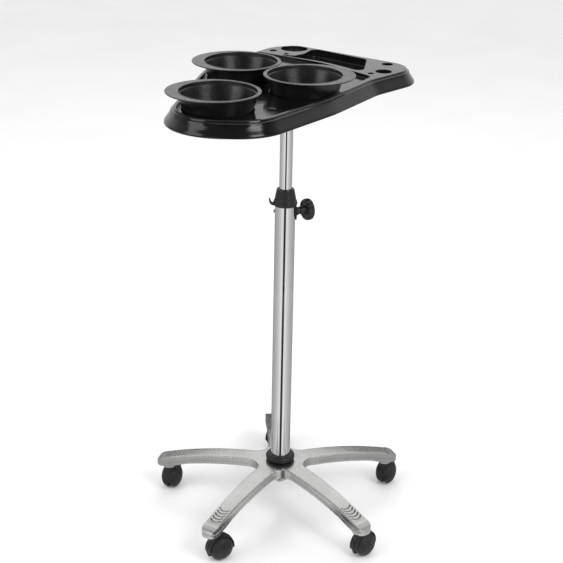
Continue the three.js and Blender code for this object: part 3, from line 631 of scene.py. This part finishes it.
CLAMP_ANGLE = 27
CLAMP_HEIGHT = 664
SCREW_HEIGHT = 667
CLAMP_BORE_RADIUS, SCREW_BORE_RADIUS = 4.5, 1.8
ALONG_CLAMP = at(0, 0, CLAMP_HEIGHT) @ spin(CLAMP_ANGLE) @ spin(90, "Y")
ALONG_SCREW = at(0, 0, SCREW_HEIGHT) @ spin(-90, "Y")


def pipe_profile(inner, outer, low, high, edge=0.6):
    return rounded([(inner, low), (outer, low, edge), (outer, high, edge), (inner, high, edge),
                    (inner, low)])


def tube_pieces():
    low, high = span("outer_tube")
    tube = turned(pipe_profile(18, high[0], low[2], high[2]), 128).object("outer_tube_chrome")
    carve(tube, rod(CLAMP_BORE_RADIUS, 5, 25).moved(ALONG_CLAMP))
    carve(tube, rod(SCREW_BORE_RADIUS, 5, 25).moved(ALONG_SCREW))
    dress(tube, "outer_tube")
    low, high = span("inner_tube")
    post = turned(pipe_profile(11, high[0], low[2], high[2]), 112).object("inner_tube_chrome")
    dress(post, "inner_tube")


def collar_piece():
    low, high = span("top_collar")
    top = high[2]
    foot = top - 34
    body = turned(rounded([
        (13, low[2]), (17.7, low[2], 0.5), (17.7, foot + 4.3), (20.3, foot + 4.3), (20.3, foot),
        (22.4, foot, 1), (23.9, foot + 4.6, 3.2), (22.9, foot + 9.4, 2), (21.6, foot + 10.6, 1),
        (17.6, top - 2, 1.5), (16.6, top, 0.9), (13, top, 0.6), (13, low[2]),
    ]), 112).object("collar_cap")
    # The finger curves outwards and up: along its upper edge, and back along the lower one.
    finger = [(-22, foot + 3.6)]
    for k in range(1, 13):
        t = k / 12
        finger.append((-22 * (1 - t) ** 2 - 57 * t * (1 - t) - 30.3 * t * t,
                       foot + 3.6 * (1 - t) ** 2 + 6 * t * (1 - t) + 13 * t * t))
    for k in range(13):
        t = 1 - k / 12
        finger.append((-22 * (1 - t) ** 2 - 62.2 * t * (1 - t) - 32.2 * t * t,
                       foot + 0.4 * (1 - t) ** 2 + 1.2 * t * (1 - t) + 12.4 * t * t))
    hook = prism(finger, -6, 6).moved(UPRIGHT)
    carve(body, hook, "UNION")
    carve(body, rod(CLAMP_BORE_RADIUS, 5, 20).moved(ALONG_CLAMP))
    carve(body, rod(SCREW_BORE_RADIUS, 5, 20).moved(ALONG_SCREW))
    dress(body, "top_collar")


def screw_pieces():
    thread = rounded([(0, 14), (1.2, 14), (1.5, 14.4), (1.5, 20.3), (3.6, 20.3, 0.2),
                      (3.6, 21.6, 0.7), (2.6, 23.1, 0.6), (1.2, 23.2), (0.9, 22.4), (0, 22.3)])
    dress(turned(thread, 40).moved(ALONG_SCREW).object("collar_screw"), "guide_screw")
    inside, outside, bottom, top = 20.3, 23.2, 650, 676
    saddle = swept(rounded([(inside, bottom), (outside, bottom, 1.2), (outside, top, 1.2),
                            (inside, top)], True), CLAMP_ANGLE - 30, CLAMP_ANGLE + 30, 40)
    boss = saddle.object("clamp_saddle")
    nut = turned(rounded([(0, 18), (9, 18), (9, 27, 1.4), (5, 27), (5, 27), (0, 27)]), 72)
    carve(boss, nut.moved(ALONG_CLAMP), "UNION")
    carve(boss, rod(inside, bottom - 5, top + 5, 128))
    carve(boss, rod(CLAMP_BORE_RADIUS, 10, 40).moved(ALONG_CLAMP))
    dress(boss, "clamp_boss")
    start, end = 17.3, 50
    ridges = [(0, start), (3.2, start)]
    pitch = 1.25
    turns = int((end - start - 2) / pitch)
    for k in range(turns):
        foot = start + 0.6 + k * pitch
        ridges += [(3.55, foot), (4.0, foot + 0.4), (4.0, foot + 0.7)]
    ridges += [(3.4, end - 0.6), (3.2, end), (0, end)]
    dress(turned(ridges, 48).moved(ALONG_CLAMP).object("clamp_thread"), "clamp_stud")


def knob_piece():
    flutes, depth = 16, 0.9

    def fluted(radius, height, angle):
        if radius < 19:
            return radius
        return radius - depth * (1 - math.cos(flutes * angle)) * min(1, (radius - 19) / 1.5)

    profile = rounded([
        (0, 31), (7.5, 31, 0.8), (8.8, 37, 2), (9.6, 42.5, 1), (11, 43.6, 0.8), (15.5, 43.8, 1),
        (17.4, 41.9, 0.8), (19.5, 42.2, 0.8), (21.5, 45, 1.6), (21.5, 54, 2.4), (18.4, 56.6, 2),
        (14.2, 57.2, 0.6), (13.4, 56.4, 0.6), (12.4, 56.6, 0.6), (8, 57.4, 3), (0, 57.8),
    ])
    knob = turned(profile, 192, fluted).moved(ALONG_CLAMP).object("clamp_handwheel")
    carve(knob, rod(4.3, 20, 50.3).moved(ALONG_CLAMP))
    dress(knob, "clamp_knob")


tube_pieces()
collar_piece()
screw_pieces()
knob_piece()

# ------------------------------------------------------------------ tray bracket

PLATE_ANGLE = 59
SCREW_LONG, SCREW_WIDE = 85, 20
SCREW_HOLE_RADIUS = 2.2


def screw_places():
    return [spin(PLATE_ANGLE) @ Vector((a * SCREW_LONG, b * SCREW_WIDE, 0))
            for a in (-1, 1) for b in (-1, 1)]


def bracket_pieces():
    low, high = span("bracket_plate")
    bottom, top = low[2], high[2]
    corners = [(95, -29, 10), (95, 29, 10), (-95, 29, 10), (-95, -29, 10)]
    profile = rounded([(-4, bottom), (0, bottom, 0.7), (0, top, 0.7), (-4, top)])
    plate = lofted(outline(corners, 6), profile).moved(spin(PLATE_ANGLE)).object("tray_plate")
    hole = rod(SCREW_HOLE_RADIUS, bottom - 2, top + 2)
    carve(plate, joined([hole.moved(at(*spot[:2])) for spot in screw_places()]))
    dress(plate, "bracket_plate")
    low, high = span("bracket_socket")
    foot, head = low[2], high[2]
    socket = turned(rounded([
        (12.8, foot, 0.4), (15.5, foot, 0.8), (16.5, foot + 3, 2), (17, head - 9, 8),
        (27, head - 3.4, 2), (27, head, 0.4), (12.8, head), (12.8, foot),
    ]), 96)
    dress(socket.object("post_socket"), "bracket_socket")
    low, high = span("bracket_screw_1")
    head_top = bottom - GAP
    pan_head = rounded([
        (0, low[2] + 0.9), (1.1, low[2] + 0.8), (1.5, low[2], 0.2), (3.2, low[2] + 0.2, 0.8),
        (4.4, low[2] + 1.6, 0.5), (4.4, head_top, 0.2), (1.9, head_top), (1.9, high[2] - 1.5),
        (0, high[2]),
    ])
    for number, spot in enumerate(screw_places(), 1):
        screw = turned(pan_head, 40).moved(at(*spot[:2])).object(f"plate_screw_{number}")
        dress(screw, f"bracket_screw_{number}")


bracket_pieces()

# ------------------------------------------------------------------ tray

RIM = [(-46, -284, 80), (72, -126.5, 300), (157, 17.5, 120), (258, 128.5, 52), (-9, 318, 64),
       (-158, 90.5, 180), (-213, -284, 88)]
SHELF_EDGE = [(160, 45.5, 14), (70, 148.5, 300), (-66, 237.5, 12)]
TROUGH = [(146, 79.5, 12), (158, 185.5, 16), (52, 271.5, 14), (32, 223.5, 10), (12, 204.5, 8),
          (-34, 220.5, 3), (76, 153.5, 200)]
SHELF_HOLES = [(12, 269.5, 27.5), (-31, 248.5, 7.5), (-4, 221.5, 5), (197, 147.5, 11),
               (186, 86.5, 16), (160, 69.5, 6)]
LIP = 5
DECK_DEPTH, TROUGH_DEPTH, SKIRT_DEPTH = 7, 16, 28
CUP_FOOT, CUP_DECK = 57, 65.5
BOWL_SIDE = {"front": 180, "left": 180, "right": 0}
FLANGE = 77


def bowl_centre(name):
    """A flange is round but for its lobe: its plain side, front and back give the centre."""
    low, high = span(f"bowl_{name}")
    x = high[0] - FLANGE if BOWL_SIDE[name] == 180 else low[0] + FLANGE
    return x, (low[1] + high[1]) / 2


def tray_piece():
    low, high = span("tray")
    under, top = low[2], high[2]
    deck, skirt, trough_floor = top - DECK_DEPTH, top - SKIRT_DEPTH, top - TROUGH_DEPTH
    seat = under + 3
    rim = outline(RIM)
    outside = rounded([
        (11.5, skirt + 0.7), (13.6, skirt + 0.2, 1), (16.6, skirt, 1.6), (17.5, skirt + 2.8, 2),
        (16.3, skirt + 5.8, 8), (11.8, skirt + 12, 50), (7.4, skirt + 18.8, 12),
        (5.7, skirt + 23.4, 1), (3.2, skirt + 24.2, 0.8), (2.4, skirt + 25.4, 0.8),
        (1.7, top - 0.8, 1), (0, top, 0.8), (-2, top),
    ])
    tray = lofted(rim, outside).object("tray_moulding")
    hollow = [(13.5, skirt - 3), (13.5, skirt + 5), (8.2, skirt + 13), (3.6, deck - 3)]
    carve(tray, lofted(rim, hollow))
    inside = inset(RIM, LIP)
    shelf = [(170, 49.5, 4), inside[3], inside[4], (-56, 243.5, 4), (72, 151.5, 120)]
    carve(tray, lofted(outline(shelf), [(0, deck - 4), (0, top - 3)]))
    recess = [inside[0], inside[1], *SHELF_EDGE, inside[5], inside[6]]
    carve(tray, lofted(outline(recess), rounded([
        (-6, deck), (0, deck, 2), (0, top - 0.05, 1.0), (4, top + 0.35), (4, top + 3)])))
    trough = outline(TROUGH, 6)
    carve(tray, lofted(trough, [(1.5, trough_floor - 3), (3, trough_floor), (3, top - 1)]), "UNION")
    slope = (CUP_DECK - CUP_FOOT) / (deck - seat)
    for name in BOWL_SIDE:
        place = at(*bowl_centre(name))
        cup = rounded([(0, under), (CUP_FOOT + 3, under, 2.5), (CUP_DECK + 3, deck - 1),
                       (0, deck - 1)])
        carve(tray, turned(cup, 128).moved(place), "UNION")
    for spot in screw_places():
        carve(tray, rod(6.5, under, deck - 1).moved(at(*spot[:2])), "UNION")
    for x, y, radius in SHELF_HOLES:
        carve(tray, rod(radius + 2.5, top - 20, top - 1, 72).moved(at(x, y)), "UNION")
    carve(tray, lofted(trough, rounded([
        (-6, trough_floor), (0, trough_floor, 3), (0, top - 0.05, 1.0), (4, top + 0.35),
        (4, top + 3)])))
    for name in BOWL_SIDE:
        wide = CUP_DECK + 2 * slope
        cup = rounded([(0, seat), (CUP_FOOT, seat, 2), (CUP_DECK - 0.1, deck - 0.4, 0.8),
                       (wide + 1.5, deck + 0.3), (wide + 1.5, deck + 3), (0, deck + 3)])
        carve(tray, turned(cup, 128).moved(at(*bowl_centre(name))))
    for spot in screw_places():
        carve(tray, rod(SCREW_HOLE_RADIUS, under - 2, top - 23).moved(at(*spot[:2])))
    for x, y, radius in SHELF_HOLES:
        hole = rounded([(0, under - 3), (radius, under - 3), (radius, top - 0.1, 1.0),
                        (radius + 4, top + 0.4), (radius + 4, top + 3), (0, top + 3)])
        carve(tray, turned(hole, 72).moved(at(x, y)))
    low, high = span("deck_stud")
    x, y = (low[0] + high[0]) / 2, (low[1] + high[1]) / 2
    carve(tray, rod(3.3, deck - 10, deck + 2).moved(at(x, y)))
    dress(tray, "tray")
    stud = rounded([(0, low[2]), (3, low[2]), (3, deck + GAP), (7.6, deck + GAP, 0.3),
                    (7.6, deck + 1.5, 0.7), (5.2, high[2], 0.8), (2.2, high[2], 0.3),
                    (1.6, high[2] - 0.6, 0.3), (0, high[2] - 0.6)])
    dress(turned(stud, 64).moved(at(x, y)).object("deck_button"), "deck_stud")


def bowl_piece(name):
    low, high = span(f"bowl_{name}")
    foot, top = low[2], high[2]
    foot_radius, slope = 55, 0.287
    lobe = math.radians(BOWL_SIDE[name])
    stretch = high[0] - low[0] - 2 * FLANGE

    def outer(height):
        return foot_radius + (height - foot + GAP) * slope

    def flange(radius, height, angle):
        if radius < FLANGE - 3:
            return radius
        return radius + stretch * ((1 + math.cos(angle - lobe)) / 2) ** 2

    profile = rounded([
        (0, foot + 0.6), (40, foot + 0.6, 0.8), (41.5, foot, 0.6), (outer(foot) - 0.3, foot, 2.4),
        (outer(top - 5.4), top - 5.4, 2), (72.5, top - 3, 3), (FLANGE - 0.6, top - 2.3, 0.4),
        (FLANGE, top - 1.7, 0.4), (FLANGE, top - 0.6, 0.5), (FLANGE - 1.4, top - 0.1, 0.6),
        (73, top - 0.5, 2), (71.8, top, 0.6), (70, top, 0.9), (69.2, top - 6.6, 0.8),
        (outer(top - 8) - 2.2, top - 7.4, 0.8), (outer(foot + 7) - 2.3, foot + 7, 7),
        (48, foot + 3, 5), (0, foot + 3.1),
    ])
    bowl = turned(profile, 168, flange).moved(at(*bowl_centre(name)))
    dress(bowl.object(f"bowl_{name}_moulding"), f"bowl_{name}")


tray_piece()
for bowl in BOWL_SIDE:
    bowl_piece(bowl)

# CAD nodes that stay as they are take the same finishes.
for node, cad in frame["nodes"].items():
    if not cad.hide_render:
        for index in range(len(cad.material_slots)):
            cad.material_slots[index].material = MATERIAL_OF[SLOT_OF[node]]
        cad.data.shade_smooth()
        cad.data.set_sharp_from_angle(angle=SMOOTH_ANGLE)

# ------------------------------------------------------------------ studio

# The camera as it was fitted to the photo: lens in millimetres, turns in degrees, place in metres.
CAMERA_LENS = 87.08
CAMERA_YAW, CAMERA_PITCH, CAMERA_ROLL = -0.1, 22.54, 1.12
CAMERA_PLACE = (0, -2.5152, 1.5617)


def camera():
    data = bpy.data.cameras.new("camera")
    data.lens, data.sensor_width = CAMERA_LENS, 36
    data.clip_end = 100
    made = bpy.data.objects.new("camera", data)
    yaw, pitch, roll = (math.radians(v) for v in (CAMERA_YAW, CAMERA_PITCH, CAMERA_ROLL))
    ahead = Vector((math.sin(yaw) * math.cos(pitch), math.cos(yaw) * math.cos(pitch),
                    -math.sin(pitch)))
    right = Vector((math.cos(yaw), -math.sin(yaw), 0))
    up = right.cross(ahead)
    side = right * math.cos(roll) + up * math.sin(roll)
    up = up * math.cos(roll) - right * math.sin(roll)
    made.matrix_world = Matrix((side, up, -ahead)).transposed().to_4x4()
    made.matrix_world.translation = Vector(CAMERA_PLACE)
    bpy.context.scene.collection.objects.link(made)
    bpy.context.scene.camera = made


def floor():
    s = Shader("pale_floor", 0.6)
    s.colours(s.noise(3, 3), (0.86, 0.86, 0.86), (0.89, 0.89, 0.885))
    s.roughness(s.spread(s.noise(20, 4), 0.5, 0.7))
    s.bump(s.noise(400, 3), 0.04, 0.0005)
    reach = 40000
    plane = Solid([(-reach, -reach, -0.5), (reach, -reach, -0.5), (reach, reach, -0.5),
                   (-reach, reach, -0.5)], [[0, 1, 2, 3]]).object("floor")
    plane.data.materials.append(s.material)


def softbox(name, place, size, power, target=(0, 0, 0.6)):
    data = bpy.data.lights.new(name, "AREA")
    data.shape = "RECTANGLE"
    data.size, data.size_y = size
    data.energy = power
    lamp = bpy.data.objects.new(name, data)
    lamp.location = place
    lamp.rotation_euler = (Vector(target) - Vector(place)).to_track_quat("-Z", "Y").to_euler()
    bpy.context.scene.collection.objects.link(lamp)
    return lamp


# Brightness of the screens by the angle from the front, in degrees.
SCREEN_STEPS = [(0, 0.02), (9, 0.03), (17, 1.0), (45, 0.72), (85, 0.5), (135, 0.42), (160, 0.2),
                (180, 0.16)]


def screen_material():
    """A glow that changes with the angle round the column, the same on both sides."""
    material = bpy.data.materials.new("screen")
    material.use_nodes = True
    nodes, links = material.node_tree.nodes, material.node_tree.links
    nodes.clear()
    place = nodes.new("ShaderNodeTexCoord")
    around = nodes.new("ShaderNodeTexGradient")
    around.gradient_type = "RADIAL"
    ramp = nodes.new("ShaderNodeValToRGB")
    glow = nodes.new("ShaderNodeEmission")
    out = nodes.new("ShaderNodeOutputMaterial")
    links.new(place.outputs["Object"], around.inputs["Vector"])
    links.new(around.outputs["Fac"], ramp.inputs["Fac"])
    links.new(ramp.outputs["Color"], glow.inputs["Color"])
    links.new(glow.outputs["Emission"], out.inputs["Surface"])
    elements = ramp.color_ramp.elements
    stops = sorted([(0.5 + a / 360, v) for a, v in SCREEN_STEPS]
                   + [(0.5 - a / 360, v) for a, v in SCREEN_STEPS[1:]])
    while len(elements) < len(stops):
        elements.new(0.5)
    for element, (position, value) in zip(elements, stops):
        element.position = position
        element.color = (value, value, value, 1)
    return material


def reflected_screens():
    """Walls and a floor disc that only reflections see: they give the chrome its streaks."""
    sides, reach, height = 128, 1150, 560
    front_sides = 38
    material = screen_material()
    ring = [(reach * math.cos(2 * math.pi * k / sides), reach * math.sin(2 * math.pi * k / sides))
            for k in range(sides)]
    wall = Solid([(x, y, z) for z in (2, height) for x, y in ring],
                 [[k, (k + 1) % sides, (k + 1) % sides + sides, k + sides] for k in range(sides)])
    arc = [ring[k % sides] for k in range(-front_sides, front_sides + 1)]
    upper = Solid([(x, y, z) for z in (height, 2 * height) for x, y in arc],
                  [[k, k + 1, k + 1 + len(arc), k + len(arc)] for k in range(len(arc) - 1)])
    disc = Solid([(x, y, -0.2) for x, y in ring], [list(range(sides))])
    for name, solid in (("screen_wall", wall), ("screen_front", upper), ("screen_floor", disc)):
        screen = solid.object(name)
        screen.matrix_world = spin(-90)
        screen.data.materials.append(material)
        for ray in ("camera", "diffuse", "shadow", "transmission", "volume_scatter"):
            setattr(screen, f"visible_{ray}", False)


def world():
    """An even pale room; reflections see it bright behind the trolley and dark in front."""
    made = bpy.data.worlds.new("studio")
    made.use_nodes = True
    nodes, links = made.node_tree.nodes, made.node_tree.links
    background = nodes["Background"]
    background.inputs["Color"].default_value = (1.0, 1.0, 1.0, 1)
    direction = nodes.new("ShaderNodeTexCoord")
    parts = nodes.new("ShaderNodeSeparateXYZ")
    links.new(direction.outputs["Generated"], parts.inputs["Vector"])
    fade = nodes.new("ShaderNodeMapRange")
    fade.interpolation_type = "SMOOTHSTEP"
    for socket, number in (("From Min", -0.25), ("From Max", 0.7),
                           ("To Min", 0.04), ("To Max", 1.1)):
        fade.inputs[socket].default_value = number
    links.new(parts.outputs["Y"], fade.inputs["Value"])
    path = nodes.new("ShaderNodeLightPath")
    choice = nodes.new("ShaderNodeMix")
    choice.inputs["A"].default_value = 0.95
    links.new(path.outputs["Is Glossy Ray"], choice.inputs["Factor"])
    links.new(fade.outputs["Result"], choice.inputs["B"])
    links.new(choice.outputs["Result"], background.inputs["Strength"])
    bpy.context.scene.world = made


camera()
floor()
reflected_screens()
world()
softbox("key", (1.7, -1.9, 2.6), (1.3, 1.3), 38)
softbox("fill", (-2.2, -1.4, 2.2), (1.6, 1.6), 22)
softbox("back", (0.2, 2.6, 2.7), (2.4, 1.0), 20).visible_glossy = False
bpy.context.scene.view_settings.view_transform = "Standard"
